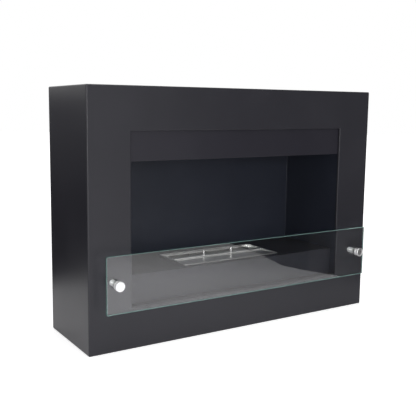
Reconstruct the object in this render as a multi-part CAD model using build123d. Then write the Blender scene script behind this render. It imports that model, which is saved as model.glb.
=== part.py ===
from build123d import *
import os

# A bioethanol fireplace: a black sheet-steel casing with a picture-frame front, a firebox with a
# drop-in burner, and a glass pane on two standoffs.
# Millimetres. X runs to the right, Y towards the wall behind, Z up.
# The origin is the centre of the casing's footprint, on the surface it stands on.

# ---- Casing ----
case_width = 700.0
case_height = 500.0
case_depth = 190.0
steel = 1.5                   # sheet of the casing, liner, deck and ceiling
bend = 2.5                    # outside radius of a folded edge
side_border = 88.0            # front frame, left and right of the opening
top_border = 83.0             # front frame above the opening
bottom_border = 83.0          # front frame below the opening
lip_depth = 5.0               # edge of the opening, turned in, from the front face

# ---- Firebox ----
firebox_depth = 180.0         # front face to the liner's back wall
liner_overlap = 12.0          # the liner runs on past the opening, above and below
liner_start = 0.5             # gap between the front sheet and the liner's front edges
fit_gap = 0.3                 # between sheets that lie side by side
deck_height = 140.5           # top of the burner deck
deck_setback = 20.0           # front face to the deck's upright front
band_height = 57.0            # lintel band that shows below the opening's top edge
tray_flange = 15.0            # short turned edges of the deck and the ceiling

# ---- Burner ----
burner_length = 244.0
burner_width = 112.0
burner_setback = 92.5         # front face to the burner's middle
rim_steel = 1.5
rim_lap = 3.0                 # the rim overhangs its collar, and rests on the deck
collar_steel = 1.2
collar_depth = 13.0           # below the rim's top
cutout_gap = 0.6              # collar to the deck's cut-out, all round
tank_depth = 56.0
tank_steel = 1.2
pad_thickness = 22.0          # ceramic-fibre pad in the tank
pad_gap = 1.0
plate_steel = 1.0             # top plate with the flame slot
plate_recess = 4.3            # rim's top down to the top plate
slot_length = 208.0
slot_width = 34.0
slot_margin = 5.0             # slot to the collar's rear wall

# ---- Sliding lid ----
lid_steel = 1.2
lid_gap = 0.3                 # lid over the top plate
lid_end_gap = 4.0             # lid plate to the collar, at each end
bar_end_gap = 0.5             # the lid's bar to the collar, at each end
lid_front_gap = 1.0
bar_setback = 3.0             # bar's rear face to the slot, with the lid open
bar_height = 4.0              # under face of the lid to the bar's top
bar_ledge = 11.0              # the bar's top, front to back
bar_toe_gap = 0.3             # bar's front fold over the lid
bar_fold = 0.95               # outside radius of the bar's upper edges
post_spacing = 72.6
post_inset = 3.5              # lid's rear edge to the posts
post_height = 10.5            # above the bar
post_ball = 5.2               # diameter
post_neck = 3.4               # diameter
post_foot = 5.0               # diameter
post_foot_height = 1.6

# ---- Glass pane ----
glass_inset = 25.0            # casing's side to the pane's edge
glass_height = 110.0
glass_thickness = 5.0
glass_bottom = 82.0
glass_corner = 2.0
glass_arris = 0.5
glass_hole = 10.0             # diameter

# ---- Standoffs ----
standoff_inset = 22.0         # pane's edge to the standoff's middle
barrel_length = 20.0
barrel_diameter = 12.0
barrel_chamfer = 0.6
flange_diameter = 18.6        # washer in front of the glass, under the cap
flange_thickness = 1.2
flange_edge = 0.4             # radius of the washer's front edge
pad_disc_diameter = 15.5
pad_disc_thickness = 1.0
bush_gap = 0.2                # bush to the hole in the glass
stud_diameter = 6.0
stud_gap = 0.05               # stud in its tapped bore
stud_clear = 0.2              # stud through sheet, washer, pad or bush
cap_diameter = 19.0
cap_base_diameter = 13.0
cap_length = 9.8
cap_rim = 2.6                 # straight outer rim of the cap, front to back
cap_edge = 0.65               # chamfer of the rim
cap_dish = 1.0
cap_dish_diameter = 14.0
cap_stud_grip = 9.0           # cap's stud in the barrel
barrel_screw_grip = 6.0       # screw from inside the casing, in the barrel
screw_head_diameter = 11.0
screw_head_height = 4.0
screw_head_edge = 1.3
screw_socket = 6.0            # six-sided recess, across its corners
backing_washer_diameter = 16.0
backing_washer_thickness = 1.2

# ---- Back ----
back_steel = 1.2
back_recess = 3.6             # panel's rear face, in from the casing's rear edge
back_panel_gap = 0.5
frame_leg = 18.0              # angle frame, the leg that the panel lies on
frame_side_leg = 14.0         # angle frame, the leg along the casing's walls
frame_corner = 3.0
panel_screw_diameter = 4.0
panel_screw_head = 7.6
panel_screw_head_height = 2.2
panel_screw_length = 8.0
panel_screw_hole_gap = 0.25
cross_length = 3.8            # cross recess in the screw heads
cross_width = 0.95
panel_screws_along = 4        # along the top and the bottom edge
hanger_inset = 130.0          # casing's side to the keyhole's middle
hanger_drop = 54.0            # casing's top down to the keyholes
hanger_plate_width = 70.0
hanger_plate_height = 48.0
hanger_plate_steel = 2.0
keyhole_diameter = 13.0
keyhole_slot = 6.5            # width
keyhole_rise = 15.0

# ---- Rivets ----
rivet_diameter = 4.0
rivet_gap = 0.05
rivet_head_diameter = 7.0
rivet_head_height = 1.2
rivet_tail_diameter = 5.6
rivet_tail_height = 1.8
rivet_setback = 45.0          # liner rivets, from the middle of the firebox's depth

# ---- Places that follow from the sizes above ----
half_width = case_width / 2
front = -case_depth / 2
rear = case_depth / 2
open_half = half_width - side_border
open_bottom = bottom_border
open_top = case_height - top_border
lip_end = front + lip_depth

liner_inner = open_half + steel
liner_outer = liner_inner + steel
liner_front = front + steel + liner_start
liner_back = front + firebox_depth
liner_bottom = open_bottom - liner_overlap
liner_top = open_top + liner_overlap

tray_half = liner_inner - fit_gap
tray_front = lip_end + fit_gap
tray_back = liner_back - fit_gap
deck_front = front + deck_setback
ceiling = open_top - band_height

burner_y = front + burner_setback
rim_top = deck_height + rim_steel
collar_half_x = burner_length / 2 - rim_lap
collar_half_y = burner_width / 2 - rim_lap
well_half_x = collar_half_x - collar_steel
well_half_y = collar_half_y - collar_steel
plate_top = rim_top - plate_recess
tank_top = plate_top - plate_steel
tank_bottom = tank_top - tank_depth
slot_rear = burner_y + well_half_y - slot_margin
slot_front = slot_rear - slot_width

lid_bottom = plate_top + lid_gap
lid_front = burner_y - well_half_y + lid_front_gap
lid_rear = slot_front - bar_setback
lid_half = well_half_x - lid_end_gap
bar_half = well_half_x - bar_end_gap
bar_top = lid_bottom + bar_height

glass_half = half_width - glass_inset
standoff_x = glass_half - standoff_inset
standoff_z = glass_bottom + glass_height / 2
rear_pad_back = front - barrel_length
glass_back = rear_pad_back - pad_disc_thickness
glass_front = glass_back - glass_thickness
flange_back = glass_front - pad_disc_thickness
cap_back = flange_back - flange_thickness

panel_rear = rear - back_recess
panel_front = panel_rear - back_steel
wall_half = half_width - steel
wall_bottom = steel
wall_top = case_height - steel
hanger_x = half_width - hanger_inset
hanger_height = case_height - hanger_drop

past = 1.0                    # how far a cutting tool runs past the face it cuts
near = 0.01                   # how close two places are to count as one


def block(x0, x1, y0, y1, z0, z1):
    centre = Pos((x0 + x1) / 2, (y0 + y1) / 2, (z0 + z1) / 2)
    return centre * Box(x1 - x0, y1 - y0, z1 - z0)


def upright_block(x0, x1, y0, y1, z0, z1, radius):
    # a block with rounded upright edges
    solid = block(x0, x1, y0, y1, z0, z1)
    return fillet(solid.edges().filter_by(Axis.Z), radius)


def facing_block(x0, x1, y0, y1, z0, z1, radius):
    # a block with rounded edges from front to back
    solid = block(x0, x1, y0, y1, z0, z1)
    return fillet(solid.edges().filter_by(Axis.Y), radius)


def rod_y(radius, x, z, y0, y1):
    return Pos(x, (y0 + y1) / 2, z) * Rot(90, 0, 0) * Cylinder(radius, y1 - y0)


def rod_x(radius, y, z, x0, x1):
    return Pos((x0 + x1) / 2, y, z) * Rot(0, 90, 0) * Cylinder(radius, x1 - x0)


def turned(*points):
    # a solid turned about Z from a closed outline of radius and height
    outline = Polyline(*[(radius, 0, height) for radius, height in points], close=True)
    return revolve(make_face(outline), Axis.Z)


def facing_front(solid, x, y, z):
    # lays a part turned about Z so that its top faces the front
    return Pos(x, y, z) * Rot(90, 0, 0) * solid


def group(solids):
    return Compound(children=[item for solid in solids for item in solid.solids()])


def edges_at(solid, axis, place):
    # edges that lie in one plane across the axis
    found = []
    for edge in solid.edges():
        centre = edge.center()
        value = {"x": centre.X, "y": centre.Y, "z": centre.Z}[axis]
        flat = edge.bounding_box().size
        spread = {"x": flat.X, "y": flat.Y, "z": flat.Z}[axis]
        if abs(value - place) < near and spread < near:
            found.append(edge)
    return found


def standoff_places():
    return [-standoff_x, standoff_x]


# ---- Casing and back ----

def make_casing():
    outer = block(-half_width, half_width, front, rear, 0, case_height)
    folded = [edge for edge in outer.edges() if edge.center().Y < rear - past]
    outer = fillet(folded, bend)
    inner = block(-wall_half, wall_half, front + steel, rear + past, wall_bottom, wall_top)
    folded = [edge for edge in inner.edges() if edge.center().Y < rear]
    inner = fillet(folded, bend - steel)
    shell = outer - inner
    lip = block(-liner_inner, liner_inner, front + steel / 2, lip_end,
                open_bottom - steel, open_top + steel)
    opening = block(-open_half, open_half, front - past, lip_end + past, open_bottom, open_top)
    shell = (shell + lip) - opening
    rim = []
    for edge in edges_at(shell, "y", front):
        centre = edge.center()
        if abs(centre.X) < open_half + past and open_bottom - past < centre.Z < open_top + past:
            rim.append(edge)
    shell = fillet(rim, bend - steel / 2)
    for x in standoff_places():
        shell -= rod_y(stud_diameter / 2 + stud_clear, x, standoff_z, front - past, front + steel + past)
    return shell


def make_rear_frame():
    leg_front = panel_front - steel
    side_front = panel_front - frame_side_leg
    side_half = wall_half - steel
    window_half = wall_half - frame_leg
    outer = facing_block(-wall_half, wall_half, side_front, panel_front,
                         wall_bottom, wall_top, frame_corner)
    hollow = facing_block(-side_half, side_half, side_front - past, leg_front,
                          wall_bottom + steel, wall_top - steel, frame_corner - steel / 2)
    window = block(-window_half, window_half, leg_front - past, panel_front + past,
                   wall_bottom + frame_leg, wall_top - frame_leg)
    frame = outer - hollow - window
    for x, z in panel_screw_places():
        frame -= rod_y(panel_screw_diameter / 2 + stud_gap, x, z, leg_front - past, panel_front + past)
    return frame


def panel_screw_places():
    inset = (frame_leg + steel) / 2
    across = wall_half - inset
    low = wall_bottom + inset
    high = wall_top - inset
    places = []
    for index in range(panel_screws_along):
        x = -across + 2 * across * index / (panel_screws_along - 1)
        places += [(x, low), (x, high)]
    places += [(-across, (low + high) / 2), (across, (low + high) / 2)]
    return places


def hanger_places():
    return [-hanger_x, hanger_x]


def hanger_rivet_places():
    # the four corners of each keyhole plate
    dx = hanger_plate_width / 2 - rivet_head_diameter
    dz = hanger_plate_height / 2 - rivet_head_diameter
    middle = hanger_height + keyhole_rise / 2
    places = []
    for x in hanger_places():
        places += [(x - dx, middle - dz), (x - dx, middle + dz), (x + dx, middle - dz), (x + dx, middle + dz)]
    return places


def keyhole(x, y0, y1):
    slot_top = hanger_height + keyhole_rise
    hole = rod_y(keyhole_diameter / 2, x, hanger_height, y0, y1)
    hole += block(x - keyhole_slot / 2, x + keyhole_slot / 2, y0, y1, hanger_height, slot_top)
    return hole + rod_y(keyhole_slot / 2, x, slot_top, y0, y1)


def make_back_panel():
    panel_half = wall_half - back_panel_gap
    panel = facing_block(-panel_half, panel_half, panel_front, panel_rear,
                         wall_bottom + back_panel_gap, wall_top - back_panel_gap, frame_corner)
    screw_hole = panel_screw_diameter / 2 + panel_screw_hole_gap
    for x, z in panel_screw_places():
        panel -= rod_y(screw_hole, x, z, panel_front - past, panel_rear + past)
    for x in hanger_places():
        panel -= keyhole(x, panel_front - past, panel_rear + past)
    for x, z in hanger_rivet_places():
        panel -= rod_y(rivet_diameter / 2 + rivet_gap, x, z, panel_front - past, panel_rear + past)
    return panel


def make_panel_screws():
    # pan heads with a cross recess, screwed in from the back
    height = panel_screw_head_height
    head = rod_y(panel_screw_head / 2, 0, 0, 0, height)
    head = fillet(edges_at(head, "y", height), height / 2)
    cross = block(-cross_length / 2, cross_length / 2, height / 2, height + past,
                  -cross_width / 2, cross_width / 2)
    cross += Rot(0, 90, 0) * cross
    screw = head - cross + rod_y(panel_screw_diameter / 2, 0, 0, -panel_screw_length, 0)
    return group([Pos(x, panel_rear, z) * screw for x, z in panel_screw_places()])


def make_hanger_plates():
    plates = []
    middle = hanger_height + keyhole_rise / 2
    plate_front = panel_front - hanger_plate_steel
    half_plate = hanger_plate_width / 2
    for x in hanger_places():
        plate = facing_block(x - half_plate, x + half_plate, plate_front, panel_front,
                             middle - hanger_plate_height / 2, middle + hanger_plate_height / 2,
                             frame_corner)
        plates.append(plate - keyhole(x, plate_front - past, panel_front + past))
    plates = group(plates)
    for x, z in hanger_rivet_places():
        plates -= rod_y(rivet_diameter / 2 + rivet_gap, x, z, plate_front - past, panel_front + past)
    return plates


def rivet(grip):
    # a blind rivet along Z: the head lies on top of the sheets, at height 0
    half_head = rivet_head_height / 2
    return turned((0, rivet_head_height), (rivet_head_diameter / 2 - half_head, rivet_head_height),
                  (rivet_head_diameter / 2, half_head), (rivet_head_diameter / 2, 0),
                  (rivet_diameter / 2, 0), (rivet_diameter / 2, -grip),
                  (rivet_tail_diameter / 2, -grip), (rivet_tail_diameter / 2, -grip - rivet_tail_height),
                  (0, -grip - rivet_tail_height))


def make_hanger_rivets():
    # the heads are at the back, where the wall is
    plain = Rot(-90, 0, 0) * rivet(back_steel + hanger_plate_steel)
    return group([Pos(x, panel_rear, z) * plain for x, z in hanger_rivet_places()])


# ---- Firebox ----

def make_liner():
    outer = upright_block(-liner_outer, liner_outer, liner_front - bend - past, liner_back + steel,
                          liner_bottom, liner_top, bend)
    inner = upright_block(-liner_inner, liner_inner, liner_front - 2 * (bend + past), liner_back,
                          liner_bottom - past, liner_top + past, bend - steel)
    ahead = block(-case_width, case_width, front - case_depth, liner_front,
                  liner_bottom - past, liner_top + past)
    liner = outer - inner - ahead
    for y, z in deck_rivet_places() + ceiling_rivet_places():
        liner -= rod_x(rivet_diameter / 2 + rivet_gap, y, z, -liner_outer - past, liner_outer + past)
    return liner


def rivet_rows():
    middle = (tray_front + tray_back) / 2
    return [middle - rivet_setback, middle + rivet_setback]


def deck_rivet_places():
    return [(y, deck_height - steel - tray_flange / 2) for y in rivet_rows()]


def ceiling_rivet_places():
    return [(y, ceiling + steel + tray_flange / 2) for y in rivet_rows()]


def tray(start, plate_face, plate_back, far_front, far_side):
    # a plate between the liner's walls, with its four edges turned to far_front and far_side
    low, high = sorted((plate_face, far_front))
    body = upright_block(-tray_half, tray_half, start, tray_back, low, high, bend - steel + fit_gap)
    folded = edges_at(body, "z", plate_face)
    body = fillet(folded, bend - steel)
    beyond = 2 * far_front - plate_face
    low, high = sorted((plate_back, beyond))
    hollow = block(-tray_half + steel, tray_half - steel, start + steel, tray_back - steel, low, high)
    low, high = sorted((far_side, beyond))
    trim = block(-case_width, case_width, start + steel, tray_back + past, low, high)
    return body - hollow - trim


def make_deck():
    deck = tray(deck_front, deck_height, deck_height - steel, open_bottom - steel,
                deck_height - steel - tray_flange)
    # the upright front is folded forward at its foot, and down again behind the casing's lip
    deck += block(-tray_half, tray_half, tray_front, deck_front + steel, open_bottom - steel, open_bottom)
    deck += block(-tray_half, tray_half, tray_front, tray_front + steel, liner_bottom, open_bottom)
    upper = [edge for edge in edges_at(deck, "z", open_bottom) if edge.length > tray_half]
    deck = fillet([edge for edge in upper if edge.center().Y < tray_front + near], bend - steel)
    cut_x = collar_half_x + cutout_gap
    cut_y = collar_half_y + cutout_gap
    deck -= upright_block(-cut_x, cut_x, burner_y - cut_y, burner_y + cut_y,
                          deck_height - steel - past, deck_height + past, bend)
    for y, z in deck_rivet_places():
        deck -= rod_x(rivet_diameter / 2 + rivet_gap, y, z, -tray_half - past, tray_half + past)
    return deck


def make_ceiling():
    plate = tray(tray_front, ceiling, ceiling + steel, liner_top, ceiling + steel + tray_flange)
    for y, z in ceiling_rivet_places():
        plate -= rod_x(rivet_diameter / 2 + rivet_gap, y, z, -tray_half - past, tray_half + past)
    return plate


def make_liner_rivets(places):
    # the heads are outside the liner, hidden in the casing
    grip = 2 * steel + fit_gap
    rivets = []
    for y, z in places:
        rivets.append(Pos(liner_outer, y, z) * Rot(0, 90, 0) * rivet(grip))
        rivets.append(Pos(-liner_outer, y, z) * Rot(0, -90, 0) * rivet(grip))
    return group(rivets)


# ---- Burner ----

def burner_block(half_x, half_y, z0, z1, radius):
    return upright_block(-half_x, half_x, burner_y - half_y, burner_y + half_y, z0, z1, radius)


def make_burner_rim():
    collar_bottom = rim_top - collar_depth
    rim = burner_block(burner_length / 2, burner_width / 2, deck_height, rim_top, bend + rim_lap)
    rim = fillet(edges_at(rim, "z", rim_top), rim_steel / 2)
    rim += burner_block(collar_half_x, collar_half_y, collar_bottom, rim_top - rim_steel / 2, bend)
    rim -= burner_block(well_half_x, well_half_y, collar_bottom - past, rim_top + past, bend - collar_steel)
    inner = []
    for edge in edges_at(rim, "z", rim_top):
        centre = edge.center()
        if abs(centre.X) < collar_half_x and abs(centre.Y - burner_y) < collar_half_y:
            inner.append(edge)
    return fillet(inner, collar_steel / 2)


def make_burner_tank():
    corner = 2 * bend
    tank = burner_block(well_half_x, well_half_y, tank_bottom, tank_top, corner)
    tank = fillet(edges_at(tank, "z", tank_bottom), bend)
    return tank - burner_block(well_half_x - tank_steel, well_half_y - tank_steel,
                               tank_bottom + tank_steel, tank_top + past, corner - tank_steel)


def make_burner_pad():
    half_x = well_half_x - tank_steel - pad_gap
    half_y = well_half_y - tank_steel - pad_gap
    pad_bottom = tank_bottom + tank_steel
    pad = burner_block(half_x, half_y, pad_bottom, pad_bottom + pad_thickness, 2 * bend)
    return fillet(edges_at(pad, "z", pad_bottom + pad_thickness), bend)


def make_slot_plate():
    plate = burner_block(well_half_x - fit_gap, well_half_y - fit_gap, tank_top, plate_top, bend)
    return plate - upright_block(-slot_length / 2, slot_length / 2, slot_front, slot_rear,
                                 tank_top - past, plate_top + past, bend)


def make_lid():
    plate = upright_block(-lid_half, lid_half, lid_front, lid_rear,
                          lid_bottom, lid_bottom + lid_steel, bend)
    # the rear edge is folded up, forward and down again to make the bar
    bar_front = lid_rear - bar_ledge
    toe = lid_bottom + lid_steel + bar_toe_gap
    web = block(-bar_half, bar_half, lid_rear - lid_steel, lid_rear, lid_bottom, bar_top)
    ledge = block(-bar_half, bar_half, bar_front, lid_rear, bar_top - lid_steel, bar_top)
    fold = block(-bar_half, bar_half, bar_front, bar_front + lid_steel, toe, bar_top)
    lid = plate + web + ledge + fold
    folded = [edge for edge in edges_at(lid, "z", bar_top) if edge.length > bar_half]
    lid = fillet(folded, bar_fold)
    hole = Cylinder(post_neck / 2 + stud_gap, lid_steel + past)
    for x in post_places():
        lid -= Pos(x, post_y(), bar_top - lid_steel / 2) * hole
    return lid


def post_places():
    return [-post_spacing / 2, post_spacing / 2]


def post_y():
    return lid_rear - post_inset


def make_lid_posts():
    ball = post_ball / 2
    ball_middle = post_height - ball
    foot = turned((0, 0), (post_foot / 2, 0), (post_foot / 2, post_foot_height / 2),
                  (post_neck / 2, post_foot_height), (0, post_foot_height))
    neck = Pos(0, 0, (ball_middle - lid_steel) / 2) * Cylinder(post_neck / 2, ball_middle + lid_steel)
    post = foot + neck + Pos(0, 0, ball_middle) * Sphere(ball)
    return group([Pos(x, post_y(), bar_top) * post for x in post_places()])


# ---- Glass pane and standoffs ----

def make_glass():
    pane = facing_block(-glass_half, glass_half, glass_front, glass_back,
                        glass_bottom, glass_bottom + glass_height, glass_corner)
    pane = chamfer(edges_at(pane, "y", glass_front) + edges_at(pane, "y", glass_back), glass_arris)
    for x in standoff_places():
        pane -= rod_y(glass_hole / 2, x, standoff_z, glass_front - past, glass_back + past)
    return pane


def make_barrel(x):
    radius = barrel_diameter / 2
    bore = stud_diameter / 2 + stud_gap
    barrel = turned((bore, 0), (radius - barrel_chamfer, 0), (radius, barrel_chamfer),
                    (radius, barrel_length - barrel_chamfer), (radius - barrel_chamfer, barrel_length),
                    (bore, barrel_length))
    return facing_front(barrel, x, front, standoff_z)


def disc(outer_diameter, inner_diameter, thickness):
    return Pos(0, 0, thickness / 2) * (Cylinder(outer_diameter / 2, thickness)
                                       - Cylinder(inner_diameter / 2, thickness + past))


def make_flange_washers():
    washer = disc(flange_diameter, stud_diameter + 2 * stud_clear, flange_thickness)
    washer = fillet(edges_at(washer, "z", flange_thickness), flange_edge)
    return group([facing_front(washer, x, flange_back, standoff_z) for x in standoff_places()])


def make_glass_pads():
    pad = disc(pad_disc_diameter, stud_diameter + 2 * stud_clear, pad_disc_thickness)
    pads = []
    for x in standoff_places():
        pads.append(facing_front(pad, x, rear_pad_back, standoff_z))
        pads.append(facing_front(pad, x, glass_front, standoff_z))
    return group(pads)


def make_glass_bushes():
    bush = disc(glass_hole - 2 * bush_gap, stud_diameter + 2 * stud_clear, glass_thickness)
    return group([facing_front(bush, x, glass_back, standoff_z) for x in standoff_places()])


def make_cap(x):
    # the stud runs back through flange washer, pads and bush into the barrel
    stud = stud_diameter / 2
    rim = cap_diameter / 2
    dish = cap_dish_diameter / 2
    reach = cap_stud_grip + flange_thickness + 2 * pad_disc_thickness + glass_thickness
    cap = turned((0, -reach), (stud, -reach), (stud, 0), (cap_base_diameter / 2, 0),
                 (rim, cap_length - cap_rim), (rim, cap_length - cap_edge), (rim - cap_edge, cap_length),
                 (dish + cap_edge, cap_length), (dish, cap_length - cap_dish), (0, cap_length - cap_dish))
    return facing_front(cap, x, cap_back, standoff_z)


def make_barrel_screws():
    # pan head inside the casing, shank through the front sheet into the barrel
    stud = stud_diameter / 2
    head = screw_head_diameter / 2
    head_foot = steel + backing_washer_thickness
    head_top = head_foot + screw_head_height
    screw = turned((0, head_top), (head - screw_head_edge, head_top), (head, head_top - screw_head_edge),
                   (head, head_foot), (stud, head_foot), (stud, -barrel_screw_grip), (0, -barrel_screw_grip))
    socket = extrude(RegularPolygon(screw_socket / 2, 6), screw_head_height)
    screw -= Pos(0, 0, head_top - screw_head_height / 2) * socket
    return group([Pos(x, front, standoff_z) * Rot(-90, 0, 0) * screw for x in standoff_places()])


def make_backing_washers():
    washer = disc(backing_washer_diameter, stud_diameter + 2 * stud_clear, backing_washer_thickness)
    return group([facing_front(washer, x, front + steel + backing_washer_thickness, standoff_z)
                  for x in standoff_places()])


nodes = {
    "casing_shell": make_casing(),
    "rear_frame": make_rear_frame(),
    "back_panel": make_back_panel(),
    "back_panel_screws": make_panel_screws(),
    "hanger_plates": make_hanger_plates(),
    "hanger_rivets": make_hanger_rivets(),
    "firebox_liner": make_liner(),
    "firebox_ceiling": make_ceiling(),
    "ceiling_rivets": make_liner_rivets(ceiling_rivet_places()),
    "burner_deck": make_deck(),
    "deck_rivets": make_liner_rivets(deck_rivet_places()),
    "burner_rim": make_burner_rim(),
    "burner_tank": make_burner_tank(),
    "burner_pad": make_burner_pad(),
    "burner_slot_plate": make_slot_plate(),
    "burner_lid": make_lid(),
    "lid_posts": make_lid_posts(),
    "glass_pane": make_glass(),
    "glass_pads": make_glass_pads(),
    "glass_bushes": make_glass_bushes(),
    "standoff_barrel_left": make_barrel(-standoff_x),
    "standoff_barrel_right": make_barrel(standoff_x),
    "standoff_flange_washers": make_flange_washers(),
    "standoff_cap_left": make_cap(-standoff_x),
    "standoff_cap_right": make_cap(standoff_x),
    "standoff_screws": make_barrel_screws(),
    "standoff_backing_washers": make_backing_washers(),
}

os.makedirs("parts", exist_ok=True)
for name, shape in nodes.items():
    export_step(shape, f"parts/{name}.step")
    print(name, len(shape.solids()), round(shape.volume, 1))
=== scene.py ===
import math
import bmesh
import bpy
from mathutils import Matrix, Vector, noise


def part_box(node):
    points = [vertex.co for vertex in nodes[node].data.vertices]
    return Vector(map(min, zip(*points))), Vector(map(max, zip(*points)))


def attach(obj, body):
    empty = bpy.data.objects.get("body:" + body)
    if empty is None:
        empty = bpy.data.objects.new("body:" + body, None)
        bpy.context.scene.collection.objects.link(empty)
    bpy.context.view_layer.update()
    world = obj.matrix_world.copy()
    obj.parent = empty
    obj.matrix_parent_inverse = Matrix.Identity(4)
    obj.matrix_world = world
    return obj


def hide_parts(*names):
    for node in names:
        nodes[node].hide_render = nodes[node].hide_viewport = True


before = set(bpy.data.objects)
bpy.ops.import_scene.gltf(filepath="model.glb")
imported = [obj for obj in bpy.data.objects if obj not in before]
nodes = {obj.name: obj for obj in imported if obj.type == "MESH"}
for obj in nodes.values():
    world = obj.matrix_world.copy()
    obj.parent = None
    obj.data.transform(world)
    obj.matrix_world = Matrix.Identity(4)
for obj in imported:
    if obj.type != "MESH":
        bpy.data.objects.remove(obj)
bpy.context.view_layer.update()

print("frame loaded:", len(nodes), "nodes")


def startMaterial(name):
    material = bpy.data.materials.new(name)
    material.use_nodes = True
    return material, material.node_tree, material.node_tree.nodes["Principled BSDF"]


def addNode(tree, kind, **settings):
    node = tree.nodes.new(kind)
    for key, value in settings.items():
        setattr(node, key, value)
    return node


def objectCoords(tree):
    return addNode(tree, "ShaderNodeTexCoord").outputs["Object"]


def grain(tree, coords, size, stretch=(1, 1, 1), detail=2.0, seed=0.0):
    # noise whose blotches are about size metres wide, drawn out along stretch
    mapping = addNode(tree, "ShaderNodeMapping")
    mapping.inputs["Location"].default_value = (seed, seed, seed)
    mapping.inputs["Scale"].default_value = [1 / (size * s) for s in stretch]
    tree.links.new(coords, mapping.inputs["Vector"])
    texture = addNode(tree, "ShaderNodeTexNoise")
    texture.inputs["Scale"].default_value = 1.0
    texture.inputs["Detail"].default_value = detail
    tree.links.new(mapping.outputs["Vector"], texture.inputs["Vector"])
    return texture.outputs["Fac"]


noiseSpan = (0.3, 0.7)  # the part of 0 to 1 that a noise texture mostly fills


def remap(tree, value, low, high, fromLow=noiseSpan[0], fromHigh=noiseSpan[1]):
    node = addNode(tree, "ShaderNodeMapRange")
    ends = {"From Min": fromLow, "From Max": fromHigh, "To Min": low, "To Max": high}
    for key, number in ends.items():
        node.inputs[key].default_value = number
    tree.links.new(value, node.inputs["Value"])
    return node.outputs["Result"]


def around(tree, value, middle, spread, *span):
    # middle, give or take spread
    return remap(tree, value, middle - spread, middle + spread, *span)


def blendColours(tree, factor, first, second):
    node = addNode(tree, "ShaderNodeMix", data_type="RGBA")
    for socket, colour in ((node.inputs["A"], first), (node.inputs["B"], second)):
        if isinstance(colour, tuple):
            socket.default_value = (*colour, 1)
        else:
            tree.links.new(colour, socket)
    tree.links.new(factor, node.inputs["Factor"])
    return node.outputs["Result"]


def combine(tree, first, second, operation="ADD"):
    node = addNode(tree, "ShaderNodeMath", operation=operation)
    for socket, value in zip(node.inputs, (first, second)):
        if isinstance(value, (int, float)):
            socket.default_value = value
        else:
            tree.links.new(value, socket)
    return node.outputs["Value"]


def bumpFrom(tree, height, depth):
    node = addNode(tree, "ShaderNodeBump")
    node.inputs["Distance"].default_value = depth
    tree.links.new(height, node.inputs["Height"])
    return node.outputs["Normal"]


speckToPeel = 0.3  # size of the specks in the gloss, as a share of the orange peel's


def powderCoat(name, look):
    # satin powder coat: fine orange peel, with a faint cloudiness in colour and gloss
    material, tree, shader = startMaterial(name)
    coords = objectCoords(tree)
    clouds = grain(tree, coords, look["cloudSize"], detail=3.0)
    peel = grain(tree, coords, look["peelSize"], detail=1.0, seed=3.1)
    speck = grain(tree, coords, look["peelSize"] * speckToPeel, detail=0.0, seed=7.7)
    colour = blendColours(tree, remap(tree, clouds, 0, 1), look["dark"], look["light"])
    tree.links.new(colour, shader.inputs["Base Color"])
    gloss = around(tree, clouds, look["roughness"], look["glossDrift"])
    gloss = combine(tree, gloss, around(tree, speck, 0, look["speckGloss"]))
    tree.links.new(gloss, shader.inputs["Roughness"])
    tree.links.new(bumpFrom(tree, peel, look["peelDepth"]), shader.inputs["Normal"])
    shader.inputs["Specular IOR Level"].default_value = look["specular"]
    return material


def brushedSteel(name, look):
    # fine broken lines that run the way lineRun is long, with a slow drift in gloss from handling
    material, tree, shader = startMaterial(name)
    coords = objectCoords(tree)
    lines = grain(tree, coords, look["lineWidth"], stretch=look["lineRun"], detail=3.0)
    handling = grain(tree, coords, look["handlingSize"], detail=2.0, seed=4.2)
    shader.inputs["Metallic"].default_value = 1.0
    colour = blendColours(tree, remap(tree, lines, 0, 1), look["dark"], look["light"])
    tree.links.new(colour, shader.inputs["Base Color"])
    gloss = around(tree, lines, look["roughness"], look["lineGloss"])
    gloss = combine(tree, gloss, around(tree, handling, 0, look["handling"]))
    tree.links.new(gloss, shader.inputs["Roughness"])
    tree.links.new(bumpFrom(tree, lines, look["lineDepth"]), shader.inputs["Normal"])
    if "streak" in look:
        # turned grooves run round the barrel, so its highlights are drawn out along it
        tangent = addNode(tree, "ShaderNodeTangent", direction_type="RADIAL", axis="Y")
        tree.links.new(tangent.outputs["Tangent"], shader.inputs["Tangent"])
        shader.inputs["Anisotropic"].default_value = look["streak"]
        shader.inputs["Anisotropic Rotation"].default_value = look["streakTurn"]
    return material


def polishedChrome(name, look):
    material, tree, shader = startMaterial(name)
    coords = objectCoords(tree)
    film = grain(tree, coords, look["filmSize"], detail=3.0)
    shader.inputs["Metallic"].default_value = 1.0
    tree.links.new(blendColours(tree, remap(tree, film, 0, 1), look["dark"], look["light"]),
                   shader.inputs["Base Color"])
    tree.links.new(remap(tree, film, look["roughness"], look["roughness"] + look["filmRoughness"]),
                   shader.inputs["Roughness"])
    return material


def zincPlate(name, look):
    material, tree, shader = startMaterial(name)
    coords = objectCoords(tree)
    spangle = addNode(tree, "ShaderNodeTexVoronoi")
    spangle.inputs["Scale"].default_value = 1 / look["spangle"]
    tree.links.new(coords, spangle.inputs["Vector"])
    tone = addNode(tree, "ShaderNodeSeparateColor")
    tree.links.new(spangle.outputs["Color"], tone.inputs["Color"])
    shader.inputs["Metallic"].default_value = 1.0
    tree.links.new(blendColours(tree, tone.outputs["Red"], look["dark"], look["light"]),
                   shader.inputs["Base Color"])
    tree.links.new(around(tree, tone.outputs["Green"], look["roughness"], look["glossDrift"], 0, 1),
                   shader.inputs["Roughness"])
    return material


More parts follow.
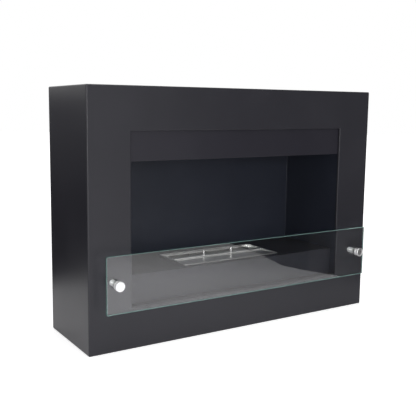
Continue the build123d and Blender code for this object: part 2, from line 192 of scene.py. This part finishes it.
def feltFibre(name, look):
    # pressed ceramic fibre: short pale fibres laid every way, a little soiled in patches
    material, tree, shader = startMaterial(name)
    coords = objectCoords(tree)
    soil = grain(tree, coords, look["soilSize"], detail=4.0)
    layX = grain(tree, coords, look["fibre"], stretch=(look["run"], 1, 1), detail=3.0, seed=2.3)
    layY = grain(tree, coords, look["fibre"], stretch=(1, look["run"], 1), detail=3.0, seed=5.9)
    fibres = combine(tree, layX, layY, "MAXIMUM")
    pale = blendColours(tree, remap(tree, fibres, 0, 1, *look["fibreSpan"]), look["shade"], look["pale"])
    soiled = remap(tree, soil, 0, look["soilShare"], *look["soilSpan"])
    tree.links.new(blendColours(tree, soiled, pale, look["soil"]), shader.inputs["Base Color"])
    tree.links.new(remap(tree, fibres, look["roughness"], 1.0), shader.inputs["Roughness"])
    tree.links.new(bumpFrom(tree, fibres, look["fibreDepth"]), shader.inputs["Normal"])
    return material


def floatGlass(name, look, lowCorner, highCorner):
    # clear faces, green edges where the light has run along inside the pane, and pale ground arrises
    material, tree, shader = startMaterial(name)
    split = addNode(tree, "ShaderNodeSeparateXYZ")
    tree.links.new(objectCoords(tree), split.inputs["Vector"])

    def towardsSides(axis, width, full):
        # rises from 0 to 1 in the last width before either side, and is 1 from full of it on
        index = "XYZ".index(axis)
        middle = (lowCorner[index] + highCorner[index]) / 2
        half = (highCorner[index] - lowCorner[index]) / 2
        away = combine(tree, combine(tree, split.outputs[axis], -middle), 0.0, "ABSOLUTE")
        return remap(tree, away, 0, 1, half - width, half - width * full)

    across, up = (towardsSides(axis, look["edgeWidth"], look["edgeFull"]) for axis in "XZ")
    edge = combine(tree, across, up, "MAXIMUM")
    outer = towardsSides("Y", look["arrisWidth"], look["arrisFull"])
    arris = combine(tree, edge, outer, "MULTIPLY")
    tint = blendColours(tree, edge, look["face"], look["edge"])
    tree.links.new(blendColours(tree, arris, tint, look["arris"]), shader.inputs["Base Color"])
    tree.links.new(remap(tree, edge, 0, look["edgeRoughness"], 0, 1), shader.inputs["Roughness"])
    tree.links.new(remap(tree, arris, 1.0, 1.0 - look["arrisMilk"], 0, 1),
                   shader.inputs["Transmission Weight"])
    shader.inputs["IOR"].default_value = look["ior"]
    # lamps shine through the pane instead of being shut out
    path = addNode(tree, "ShaderNodeLightPath")
    clear = addNode(tree, "ShaderNodeBsdfTransparent")
    clear.inputs["Color"].default_value = (*look["shadow"], 1)
    pick = addNode(tree, "ShaderNodeMixShader")
    tree.links.new(path.outputs["Is Shadow Ray"], pick.inputs[0])
    tree.links.new(shader.outputs["BSDF"], pick.inputs[1])
    tree.links.new(clear.outputs["BSDF"], pick.inputs[2])
    tree.links.new(pick.outputs["Shader"], tree.nodes["Material Output"].inputs["Surface"])
    return material


def clearSilicone(name, look):
    material, tree, shader = startMaterial(name)
    coords = objectCoords(tree)
    milk = grain(tree, coords, look["milkSize"])
    tree.links.new(blendColours(tree, remap(tree, milk, 0, 1), look["dark"], look["light"]),
                   shader.inputs["Base Color"])
    shader.inputs["Roughness"].default_value = look["roughness"]
    shader.inputs["Transmission Weight"].default_value = look["clearness"]
    return material


# sizes and depths are in metres, and a colour drifts between dark and light
coatLook = {
    "dark": (0.0196, 0.0193, 0.0244), "light": (0.0220, 0.0216, 0.0272),
    "roughness": 0.34, "glossDrift": 0.02, "speckGloss": 0.02, "specular": 0.30,
    "cloudSize": 0.10, "peelSize": 0.0014, "peelDepth": 0.000006,
}
# painted shade: a darker, a little bluer copy of the black coat for the ceiling's band, recessed under
# the opening's top
shadedBandLook = {**coatLook, "dark": (0.0156, 0.0148, 0.0208), "light": (0.0178, 0.0170, 0.0234)}
blackCoat = powderCoat("blackCoat", coatLook)
shadedBandCoat = powderCoat("shadedBandCoat", shadedBandLook)

# the heat-resistant coat inside is matter and bluer
fireboxLook = {
    "dark": (0.0146, 0.0168, 0.0256), "light": (0.0168, 0.0191, 0.0286),
    "roughness": 0.40, "glossDrift": 0.02, "speckGloss": 0.02, "specular": 0.26,
    "cloudSize": 0.08, "peelSize": 0.0012, "peelDepth": 0.000006,
}
deckLook = {
    **fireboxLook, "dark": (0.0122, 0.0126, 0.0178), "light": (0.0144, 0.0148, 0.0203),
    "roughness": 0.46, "specular": 0.18, "peelDepth": 0.000002,
}
fireboxCoat = powderCoat("fireboxCoat", fireboxLook)
deckCoat = powderCoat("deckCoat", deckLook)

brightSteelLook = {
    "dark": (0.76, 0.76, 0.75), "light": (0.82, 0.82, 0.81),
    "roughness": 0.30, "filmRoughness": 0.05, "filmSize": 0.012,
}
lidLook = {
    **brightSteelLook, "dark": (0.82, 0.82, 0.81), "light": (0.88, 0.88, 0.87), "roughness": 0.28,
}
brightSteel = polishedChrome("brightSteel", brightSteelLook)
lidSteel = polishedChrome("lidSteel", lidLook)

brushedSteelLook = {
    "dark": (0.46, 0.46, 0.45), "light": (0.62, 0.62, 0.61), "roughness": 0.28,
    "lineWidth": 0.0006, "lineRun": (80, 1, 1), "lineDepth": 0.000003, "lineGloss": 0.05,
    "handlingSize": 0.03, "handling": 0.04,
}
burnerSteel = brushedSteel("burnerSteel", brushedSteelLook)

feltLook = {
    "pale": (0.80, 0.78, 0.74), "shade": (0.66, 0.64, 0.60), "soil": (0.50, 0.46, 0.40),
    "soilSize": 0.05, "soilSpan": (0.45, 0.75), "soilShare": 0.5,
    "fibre": 0.0005, "run": 9, "fibreSpan": (0.4, 0.75), "fibreDepth": 0.0002, "roughness": 0.85,
}
felt = feltFibre("felt", feltLook)

turnedSteelLook = {
    "dark": (0.80, 0.80, 0.80), "light": (0.90, 0.90, 0.90),
    "roughness": 0.46, "streak": 0.96, "streakTurn": 0.25,  # a quarter turn, from round to along
    "lineWidth": 0.0006, "lineRun": (60, 1, 60), "lineDepth": 0.00001, "lineGloss": 0.05,
    "handlingSize": 0.01, "handling": 0.02,
}
turnedSteel = brushedSteel("turnedSteel", turnedSteelLook)

capLook = {
    "dark": (0.80, 0.80, 0.81), "light": (0.90, 0.90, 0.90),
    "roughness": 0.27, "filmRoughness": 0.06, "filmSize": 0.004,
}
postLook = {
    **capLook, "dark": (0.90, 0.90, 0.90), "light": (0.94, 0.94, 0.94), "roughness": 0.20,
}
washerLook = {
    **capLook, "dark": (0.46, 0.46, 0.46), "light": (0.56, 0.56, 0.56), "roughness": 0.28,
}
capChrome = polishedChrome("capChrome", capLook)
postChrome = polishedChrome("postChrome", postLook)
washerChrome = polishedChrome("washerChrome", washerLook)

zincLook = {
    "dark": (0.42, 0.43, 0.44), "light": (0.62, 0.63, 0.64),
    "roughness": 0.38, "glossDrift": 0.06, "spangle": 0.004,
}
rivetLook = {
    "dark": (0.60, 0.60, 0.61), "light": (0.72, 0.72, 0.72),
    "roughness": 0.30, "glossDrift": 0.06, "spangle": 0.001,
}
zinc = zincPlate("zinc", zincLook)
rivetAluminium = zincPlate("rivetAluminium", rivetLook)

screwLook = {
    "dark": (0.020, 0.020, 0.021), "light": (0.035, 0.035, 0.036),
    "roughness": 0.34, "glossDrift": 0.05, "speckGloss": 0.02, "specular": 0.5,
    "cloudSize": 0.004, "peelSize": 0.0005, "peelDepth": 0.000005,
}
blackScrew = powderCoat("blackScrew", screwLook)

glassLook = {
    "face": (0.990, 0.991, 0.991), "ior": 1.54, "shadow": (0.74, 0.78, 0.77),
    "edge": (0.16, 0.55, 0.49), "edgeWidth": 0.0008, "edgeFull": 0.5, "edgeRoughness": 0.06,
    "arris": (0.36, 0.66, 0.60), "arrisWidth": 0.0014, "arrisFull": 0.6, "arrisMilk": 0.40,
}
paneGlass = floatGlass("paneGlass", glassLook, *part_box("glass_pane"))

siliconeLook = {
    "dark": (0.60, 0.61, 0.60), "light": (0.72, 0.73, 0.72),
    "roughness": 0.30, "clearness": 0.85, "milkSize": 0.003,
}
silicone = clearSilicone("silicone", siliconeLook)

finishes = {
    blackCoat: ("casing_shell", "back_panel"),
    shadedBandCoat: ("firebox_ceiling",),
    fireboxCoat: ("firebox_liner",),
    deckCoat: ("burner_deck",),
    brightSteel: ("burner_rim",),
    lidSteel: ("burner_lid",),
    burnerSteel: ("burner_tank", "burner_slot_plate"),
    turnedSteel: ("standoff_barrel_left", "standoff_barrel_right"),
    postChrome: ("lid_posts",),
    washerChrome: ("standoff_flange_washers",),
    capChrome: ("standoff_cap_left", "standoff_cap_right"),
    zinc: ("rear_frame", "hanger_plates", "standoff_screws", "standoff_backing_washers"),
    rivetAluminium: ("hanger_rivets", "ceiling_rivets", "deck_rivets"),
    blackScrew: ("back_panel_screws",),
    paneGlass: ("glass_pane",),
    silicone: ("glass_pads", "glass_bushes"),
}
for material, names in finishes.items():
    for name in names:
        for holder in nodes[name].material_slots:
            holder.material = material
print("finishes on:", sum(len(names) for names in finishes.values()), "nodes")


def placed(name, mesh):
    thing = bpy.data.objects.new(name, mesh)
    bpy.context.scene.collection.objects.link(thing)
    return thing


def settle(thing, sharpAngle=None):
    # swaps the live modifiers for the plain mesh that they make
    ready = thing.evaluated_get(bpy.context.evaluated_depsgraph_get())
    mesh = bpy.data.meshes.new_from_object(ready)
    thing.modifiers.clear()
    thing.data = mesh
    mesh.shade_smooth()
    if sharpAngle:
        mesh.set_sharp_from_angle(angle=sharpAngle)
    return mesh


# the felt pad in the tank: a stiff pressed slab, a little crowned, lumpy and fuzzy on top
padShape = {
    "weld": 0.00001, "voxel": 0.0018, "shrink": 0.0004, "crown": 0.0016,
    "lumps": 0.0012, "lumpSize": 0.024, "fuzz": 0.0004, "fuzzSize": 0.004,
    "fullFrom": 0.5,  # share of the height from which lumps and fuzz have their full size
}


def makeFeltPad(shape):
    low, high = (Vector(corner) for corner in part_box("burner_pad"))
    middle, half = (low + high) / 2, (high - low) / 2
    mesh = nodes["burner_pad"].data.copy()
    build = bmesh.new()
    build.from_mesh(mesh)
    bmesh.ops.remove_doubles(build, verts=build.verts, dist=shape["weld"])
    build.to_mesh(mesh)
    build.free()
    slab = placed("felt_pad", mesh)
    remesh = slab.modifiers.new("felt", "REMESH")
    remesh.mode = "VOXEL"
    remesh.voxel_size = shape["voxel"]
    mesh = settle(slab)
    for vertex, normal in [(v, v.normal.copy()) for v in mesh.vertices]:
        place = vertex.co.copy()
        up = max(0.0, (place.z - low.z) / (high.z - low.z))
        awayX, awayY = (place.x - middle.x) / half.x, (place.y - middle.y) / half.y
        lump = 0.5 + 0.5 * noise.noise(place / shape["lumpSize"])
        fuzz = 0.5 + 0.5 * noise.noise(place / shape["fuzzSize"])
        rough = shape["lumps"] * lump + shape["fuzz"] * fuzz
        vertex.co = place - normal * (shape["shrink"] + rough * min(1.0, up / shape["fullFrom"]))
        dome = max(0.0, 1 - awayX ** 2) * max(0.0, 1 - awayY ** 2)
        vertex.co.z -= shape["crown"] * up * (1 - dome)
    mesh.materials.clear()
    mesh.materials.append(felt)
    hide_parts("burner_pad")
    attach(slab, "burner")


makeFeltPad(padShape)
print("felt pad made")


# screws and rivets: one head and shank, repeated at every place and turned by up to Spin
panelScrewSizes = {
    "Head Radius": 0.0038, "Head Height": 0.0022, "Crown": 0.0010, "Shank Radius": 0.0019,
    "Shank Length": 0.0078, "Tail Radius": 0.0013, "Tail Height": 0.0004,
    "Recess Size": (0.0038, 0.00095, 0.0026), "Spin": 6.283,
}
rivetSizes = {
    "Head Radius": 0.0035, "Head Height": 0.0012, "Crown": 0.0007, "Shank Radius": 0.0019,
    "Shank Length": 0.0033, "Tail Radius": 0.0028, "Tail Height": 0.0018,
    "Recess Size": (0.0016, 0.0016, 0.0009), "Spin": 6.283,
}
fastenerRun = {
    "screwsAlong": 4, "hangerRivetsApart": 0.056, "crownRings": 5, "seed": 7,
    "crease": 0.7,  # radians, from which an edge stays sharp
}


def fastenerTree(name, sides, crossed):
    # a crowned head with a recess, a shank and a tail, set on every point and turned its way
    tree = bpy.data.node_groups.new(name, "GeometryNodeTree")
    tree.interface.new_socket("Geometry", in_out="INPUT", socket_type="NodeSocketGeometry")
    for label in ("Head Radius", "Head Height", "Crown", "Shank Radius", "Shank Length",
                  "Tail Radius", "Tail Height", "Spin"):
        tree.interface.new_socket(label, in_out="INPUT", socket_type="NodeSocketFloat")
    tree.interface.new_socket("Recess Size", in_out="INPUT", socket_type="NodeSocketVector")
    tree.interface.new_socket("Material", in_out="INPUT", socket_type="NodeSocketMaterial")
    tree.interface.new_socket("Geometry", in_out="OUTPUT", socket_type="NodeSocketGeometry")
    given = addNode(tree, "NodeGroupInput").outputs
    link = tree.links.new

    def alongZ(value):
        node = addNode(tree, "ShaderNodeCombineXYZ")
        link(value, node.inputs["Z"])
        return node.outputs["Vector"]

    def rod(radius, length, top, rings=1):
        node = addNode(tree, "GeometryNodeMeshCylinder")
        node.inputs["Vertices"].default_value = sides
        node.inputs["Fill Segments"].default_value = rings
        link(radius, node.inputs["Radius"])
        link(length, node.inputs["Depth"])
        move = addNode(tree, "GeometryNodeTransform")
        link(node.outputs["Mesh"], move.inputs["Geometry"])
        middle = combine(tree, top, combine(tree, length, -0.5, "MULTIPLY"))
        link(alongZ(middle), move.inputs["Translation"])
        return move.outputs["Geometry"]

    # the head's top sinks towards its rim
    head = rod(given["Head Radius"], given["Head Height"], given["Head Height"],
               rings=fastenerRun["crownRings"])
    split = addNode(tree, "ShaderNodeSeparateXYZ")
    link(addNode(tree, "GeometryNodeInputPosition").outputs["Position"], split.inputs["Vector"])
    flat = addNode(tree, "ShaderNodeCombineXYZ")
    link(split.outputs["X"], flat.inputs["X"])
    link(split.outputs["Y"], flat.inputs["Y"])
    away = addNode(tree, "ShaderNodeVectorMath", operation="LENGTH")
    link(flat.outputs["Vector"], away.inputs[0])
    share = combine(tree, away.outputs["Value"], given["Head Radius"], "DIVIDE")
    depth = combine(tree, combine(tree, share, 2.0, "POWER"), given["Crown"], "MULTIPLY")
    sink = combine(tree, depth, -1.0, "MULTIPLY")
    upper = addNode(tree, "FunctionNodeCompare")
    link(split.outputs["Z"], upper.inputs[0])
    link(combine(tree, given["Head Height"], 0.5, "MULTIPLY"), upper.inputs[1])
    crowned = addNode(tree, "GeometryNodeSetPosition")
    link(head, crowned.inputs["Geometry"])
    link(upper.outputs["Result"], crowned.inputs["Selection"])
    link(alongZ(sink), crowned.inputs["Offset"])

    # the recess: two crossed bars, or one square hole
    recessed = crowned.outputs["Geometry"]
    for turn in (0.0, math.pi / 2) if crossed else (0.0,):
        bar = addNode(tree, "GeometryNodeMeshCube")
        link(given["Recess Size"], bar.inputs["Size"])
        move = addNode(tree, "GeometryNodeTransform")
        move.inputs["Rotation"].default_value = (0, 0, turn)
        link(bar.outputs["Mesh"], move.inputs["Geometry"])
        link(alongZ(given["Head Height"]), move.inputs["Translation"])
        cut = addNode(tree, "GeometryNodeMeshBoolean")
        link(recessed, cut.inputs["Mesh 1"])
        link(move.outputs["Geometry"], cut.inputs["Mesh 2"])
        recessed = cut.outputs["Mesh"]

    whole = addNode(tree, "GeometryNodeJoinGeometry")
    link(recessed, whole.inputs["Geometry"])
    link(rod(given["Shank Radius"], given["Shank Length"], 0.0), whole.inputs["Geometry"])
    tailTop = combine(tree, given["Shank Length"], -1.0, "MULTIPLY")
    link(rod(given["Tail Radius"], given["Tail Height"], tailTop), whole.inputs["Geometry"])

    # every one stands on its point, turned by its own amount about its own axis
    facing = addNode(tree, "GeometryNodeInputNamedAttribute", data_type="FLOAT_VECTOR")
    facing.inputs["Name"].default_value = "facing"
    align = addNode(tree, "FunctionNodeAlignRotationToVector", axis="Z")
    link(facing.outputs["Attribute"], align.inputs["Vector"])
    chance = addNode(tree, "FunctionNodeRandomValue", data_type="FLOAT")
    chance.inputs["Seed"].default_value = fastenerRun["seed"]
    spin = addNode(tree, "FunctionNodeEulerToRotation")
    amount = combine(tree, chance.outputs["Value"], given["Spin"], "MULTIPLY")
    link(alongZ(amount), spin.inputs["Euler"])
    turned = addNode(tree, "FunctionNodeRotateRotation", rotation_space="LOCAL")
    link(align.outputs["Rotation"], turned.inputs["Rotation"])
    link(spin.outputs["Rotation"], turned.inputs["Rotate By"])
    spread = addNode(tree, "GeometryNodeInstanceOnPoints")
    link(given["Geometry"], spread.inputs["Points"])
    link(whole.outputs["Geometry"], spread.inputs["Instance"])
    link(turned.outputs["Rotation"], spread.inputs["Rotation"])
    realize = addNode(tree, "GeometryNodeRealizeInstances")
    link(spread.outputs["Instances"], realize.inputs["Geometry"])
    finish = addNode(tree, "GeometryNodeSetMaterial")
    link(realize.outputs["Geometry"], finish.inputs["Geometry"])
    link(given["Material"], finish.inputs["Material"])
    link(finish.outputs["Geometry"], addNode(tree, "NodeGroupOutput").inputs["Geometry"])
    return tree


def makeFasteners(name, node, tree, sizes, places, material):
    # places are (point, facing) pairs
    mesh = bpy.data.meshes.new(name)
    mesh.from_pydata([point for point, facing in places], [], [])
    ways = mesh.attributes.new("facing", "FLOAT_VECTOR", "POINT")
    for item, (point, facing) in zip(ways.data, places):
        item.vector = facing
    thing = placed(name, mesh)
    modifier = thing.modifiers.new("fasteners", "NODES")
    modifier.node_group = tree
    for item in tree.interface.items_tree:
        if item.in_out == "INPUT" and item.name in sizes:
            modifier[item.identifier] = sizes[item.name]
        elif item.in_out == "INPUT" and item.name == "Material":
            modifier[item.identifier] = material
    settle(thing, fastenerRun["crease"])
    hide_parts(node)
    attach(thing, "casing")


def panelScrewPlaces():
    # a row along the top and the bottom edge, and one halfway up each side
    low, high = (Vector(corner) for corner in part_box("back_panel_screws"))
    rim, y = panelScrewSizes["Head Radius"], high.y - panelScrewSizes["Head Height"]
    left, right, bottom, top = low.x + rim, high.x - rim, low.z + rim, high.z - rim
    count = fastenerRun["screwsAlong"]
    places = [(left + (right - left) * i / (count - 1), y, z)
              for i in range(count) for z in (bottom, top)]
    places += [(x, y, (bottom + top) / 2) for x in (left, right)]
    return [(place, (0, 1, 0)) for place in places]


def hangerRivetPlaces():
    # the four corners of each keyhole plate
    low, high = (Vector(corner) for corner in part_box("hanger_rivets"))
    rim, y = rivetSizes["Head Radius"], high.y - rivetSizes["Head Height"]
    outer = high.x - rim
    inner = outer - fastenerRun["hangerRivetsApart"]
    return [((side * x, y, z), (0, 1, 0)) for side in (-1, 1) for x in (outer, inner)
            for z in (low.z + rim, high.z - rim)]


def linerRivetPlaces(node):
    # two in each side wall of the firebox, with their heads outside
    low, high = (Vector(corner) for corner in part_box(node))
    rim, x = rivetSizes["Head Radius"], high.x - rivetSizes["Head Height"]
    return [((side * x, y, (low.z + high.z) / 2), (side, 0, 0)) for side in (-1, 1)
            for y in (low.y + rim, high.y - rim)]


screwTree = fastenerTree("panelScrewTree", sides=24, crossed=True)
rivetTree = fastenerTree("rivetTree", sides=20, crossed=False)
makeFasteners("panel_screws", "back_panel_screws", screwTree, panelScrewSizes, panelScrewPlaces(),
              blackScrew)
makeFasteners("keyhole_rivets", "hanger_rivets", rivetTree, rivetSizes, hangerRivetPlaces(),
              rivetAluminium)
for name, node in (("upper_rivets", "ceiling_rivets"), ("lower_rivets", "deck_rivets")):
    makeFasteners(name, node, rivetTree, rivetSizes, linerRivetPlaces(node),
                  rivetAluminium)
print("screws and rivets made")


# glows, drops and gains are strengths, each followed by the metres over which it changes
studio = {
    "floorRadius": 12.0, "floorSides": 96, "floorColour": (0.88, 0.88, 0.88),
    "floorGlowNear": 0.58, "floorGlowFar": 0.97, "floorFade": (0.9, 2.4),
    # the floor as reflections see it
    "mirrorTint": (0.985, 0.970, 1.0),
    "mirrorGlowNear": 0.76, "mirrorGlowFar": 0.23, "mirrorFade": (0.58, 0.95),
    "mirrorSideDrop": 0.58, "mirrorSide": (0.02, 0.44),
    "mirrorBackDrop": 0.38, "mirrorBack": (-0.1, 0.25),
    "mirrorBeyondGain": 0.50, "mirrorBeyond": (1.2, 2.2),
    # painted shade: reflections see the floor darker beside the casing
    "footPaintedShade": 0.70, "footReach": (0.02, 0.25),  # darker beside the casing
    "ambient": 0.42,
    "cards": [
        # name, points along the foot, height, colour below, colour above, heights between
        ("cardRight", [(0.52, 0.45), (0.50, -0.34), (0.46, -0.45)], 2.0,
         (0.075, 0.072, 0.072), (0.175, 0.171, 0.175), (0.12, 0.30)),
        ("cardRightFront", [(0.46, -0.45), (0.435, -0.53), (0.475, -0.70)], 2.0,
         (0.034, 0.034, 0.034), (0.155, 0.151, 0.155), (0.12, 0.30)),
        ("cardRightEnd", [(0.475, -0.70), (0.49, -0.90), (0.62, -1.42)], 2.0,
         (0.034, 0.034, 0.034), (0.07, 0.068, 0.07), (0.12, 0.30)),
        ("cardBehind", [(-0.36, 0.43), (-3.2, 0.43)], 0.50,
         (0.002, 0.002, 0.003), (0.138, 0.138, 0.149), (0.22, 0.41)),
    ],
    "lamps": [
        # name, place, size, power
        ("keyLamp", (0.4, -1.9, 2.2), 1.4, 15.0),
        ("frontLamp", (-1.2, -3.0, 0.64), 0.9, 43.0),
        ("fillLamp", (-2.2, -1.4, 2.0), 1.6, 1.0),
        ("topLamp", (0.0, 0.6, 2.6), 1.6, 24.0),
    ],
    "aim": (0.0, 0.0, 0.25),
}


def whiteToTheCamera(tree):
    # 1 for what the camera sees, straight, in a reflection or through glass
    path = addNode(tree, "ShaderNodeLightPath")
    seen = combine(tree, path.outputs["Is Camera Ray"], path.outputs["Is Glossy Ray"], "MAXIMUM")
    return combine(tree, seen, path.outputs["Is Transmission Ray"], "MAXIMUM")


def afterReflection(tree):
    # 1 once the light path has met a reflection, 0 straight or only through glass
    path = addNode(tree, "ShaderNodeLightPath")
    return combine(tree, path.outputs["Glossy Depth"], 0.5, "GREATER_THAN")


def makeFloor(look):
    mesh = bpy.data.meshes.new("floor")
    build = bmesh.new()
    bmesh.ops.create_circle(build, cap_ends=True, segments=look["floorSides"],
                            radius=look["floorRadius"])
    build.to_mesh(mesh)
    build.free()
    floor = placed("floor", mesh)
    material, tree, shader = startMaterial("floorPaper")
    tree.nodes.remove(shader)
    paper = addNode(tree, "ShaderNodeBsdfDiffuse")
    paper.inputs["Color"].default_value = (*look["floorColour"], 1)
    # straight, the paper runs out into white; reflections see a painted glow, dark in a ring, to the
    # right, behind and close to the casing, where the darkening is painted shade
    coords = objectCoords(tree)
    distance = addNode(tree, "ShaderNodeVectorMath", operation="LENGTH")
    tree.links.new(coords, distance.inputs[0])
    far = distance.outputs["Value"]
    straight = remap(tree, far, look["floorGlowNear"], look["floorGlowFar"], *look["floorFade"])
    mirrored = remap(tree, far, look["mirrorGlowNear"], look["mirrorGlowFar"], *look["mirrorFade"])
    split = addNode(tree, "ShaderNodeSeparateXYZ")
    tree.links.new(coords, split.inputs["Vector"])
    sideDrop = remap(tree, split.outputs["X"], 0, look["mirrorSideDrop"], *look["mirrorSide"])
    backDrop = remap(tree, split.outputs["Y"], 0, look["mirrorBackDrop"], *look["mirrorBack"])
    mirrored = combine(tree, mirrored, combine(tree, sideDrop, backDrop), "SUBTRACT")
    mirrored = combine(tree, mirrored, 0.0, "MAXIMUM")
    beyond = remap(tree, far, 0, look["mirrorBeyondGain"], *look["mirrorBeyond"])
    mirrored = combine(tree, mirrored, beyond)
    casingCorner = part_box("casing_shell")[1]
    beside = [combine(tree, combine(tree, split.outputs[axis], 0.0, "ABSOLUTE"), -half)
              for axis, half in zip("XY", casingCorner)]
    beside = combine(tree, *beside, "MAXIMUM")
    # painted shade: the glow that reflections see is darkened beside the casing
    shade = remap(tree, beside, look["footPaintedShade"], 1.0, *look["footReach"])
    mirrored = combine(tree, mirrored, shade, "MULTIPLY")
    strength = addNode(tree, "ShaderNodeMix")
    tree.links.new(straight, strength.inputs["A"])
    tree.links.new(mirrored, strength.inputs["B"])
    tree.links.new(afterReflection(tree), strength.inputs["Factor"])
    glow = addNode(tree, "ShaderNodeEmission")
    tree.links.new(blendColours(tree, afterReflection(tree), (1.0, 1.0, 1.0), look["mirrorTint"]),
                   glow.inputs["Color"])
    tree.links.new(combine(tree, whiteToTheCamera(tree), strength.outputs["Result"], "MULTIPLY"),
                   glow.inputs["Strength"])
    both = addNode(tree, "ShaderNodeAddShader")
    tree.links.new(paper.outputs["BSDF"], both.inputs[0])
    tree.links.new(glow.outputs["Emission"], both.inputs[1])
    tree.links.new(both.outputs["Shader"], tree.nodes["Material Output"].inputs["Surface"])
    mesh.materials.append(material)


def makeWorld(look):
    world = bpy.data.worlds.new("studioWorld")
    world.use_nodes = True
    bpy.context.scene.world = world
    tree = world.node_tree
    background = tree.nodes["Background"]
    background.inputs["Color"].default_value = (1, 1, 1, 1)
    strength = remap(tree, whiteToTheCamera(tree), look["ambient"], 1.0, 0, 1)
    tree.links.new(strength, background.inputs["Strength"])


def makeCards(look):
    # painted reflections: dark cards that glow faintly, lighter above than below, which only reflections
    # see: they give the satin sheet and the glass their dark sides
    for name, foot, height, below, above, between in look["cards"]:
        material, tree, shader = startMaterial(name + "ReflectionGlow")
        tree.nodes.remove(shader)
        dark = addNode(tree, "ShaderNodeEmission")
        split = addNode(tree, "ShaderNodeSeparateXYZ")
        tree.links.new(objectCoords(tree), split.inputs["Vector"])
        tree.links.new(blendColours(tree, remap(tree, split.outputs["Z"], 0, 1, *between), below, above),
                       dark.inputs["Color"])
        clear = addNode(tree, "ShaderNodeBsdfTransparent")
        pick = addNode(tree, "ShaderNodeMixShader")
        tree.links.new(afterReflection(tree), pick.inputs[0])
        tree.links.new(clear.outputs["BSDF"], pick.inputs[1])
        tree.links.new(dark.outputs["Emission"], pick.inputs[2])
        tree.links.new(pick.outputs["Shader"], tree.nodes["Material Output"].inputs["Surface"])
        mesh = bpy.data.meshes.new(name)
        corners = [(x, y, z) for x, y in foot for z in (0, height)]
        folds = [(i, i + 2, i + 3, i + 1) for i in range(0, len(corners) - 2, 2)]
        mesh.from_pydata(corners, [], folds)
        mesh.materials.append(material)
        card = placed(name, mesh)
        for ray in ("camera", "diffuse", "shadow", "volume_scatter"):
            setattr(card, "visible_" + ray, False)


def makeLamps(look):
    for name, place, size, power in look["lamps"]:
        light = bpy.data.lights.new(name, "AREA")
        light.shape = "SQUARE"
        light.size = size
        light.energy = power
        lamp = bpy.data.objects.new(name, light)
        lamp.location = place
        lamp.rotation_euler = (Vector(look["aim"]) - Vector(place)).to_track_quat("-Z", "Y").to_euler()
        bpy.context.scene.collection.objects.link(lamp)


makeFloor(studio)
makeWorld(studio)
makeCards(studio)
makeLamps(studio)
bpy.context.scene.view_settings.view_transform = "Standard"
print("studio ready")

# the camera stands at the photograph's place
cameraLook = {
    "place": (-0.8059, -1.1755, 0.4554), "yaw": 31.281, "pitch": -7.729, "roll": 0.483,
    "lens": 56.59, "sensor": 36.0, "shiftX": 0.0601, "shiftY": -0.0216, "farClip": 50.0,
}


def makeCamera(look):
    data = bpy.data.cameras.new("photoCamera")
    data.lens = look["lens"]
    data.sensor_width = look["sensor"]
    data.shift_x = look["shiftX"]
    data.shift_y = look["shiftY"]
    data.clip_end = look["farClip"]
    camera = bpy.data.objects.new("photoCamera", data)
    yaw, pitch, roll = (math.radians(look[key]) for key in ("yaw", "pitch", "roll"))
    turn = Matrix.Rotation(-yaw, 4, "Z") @ Matrix.Rotation(math.pi / 2 + pitch, 4, "X")
    turn = turn @ Matrix.Rotation(roll, 4, "Z")
    camera.matrix_world = Matrix.Translation(look["place"]) @ turn
    bpy.context.scene.collection.objects.link(camera)
    bpy.context.scene.camera = camera


makeCamera(cameraLook)
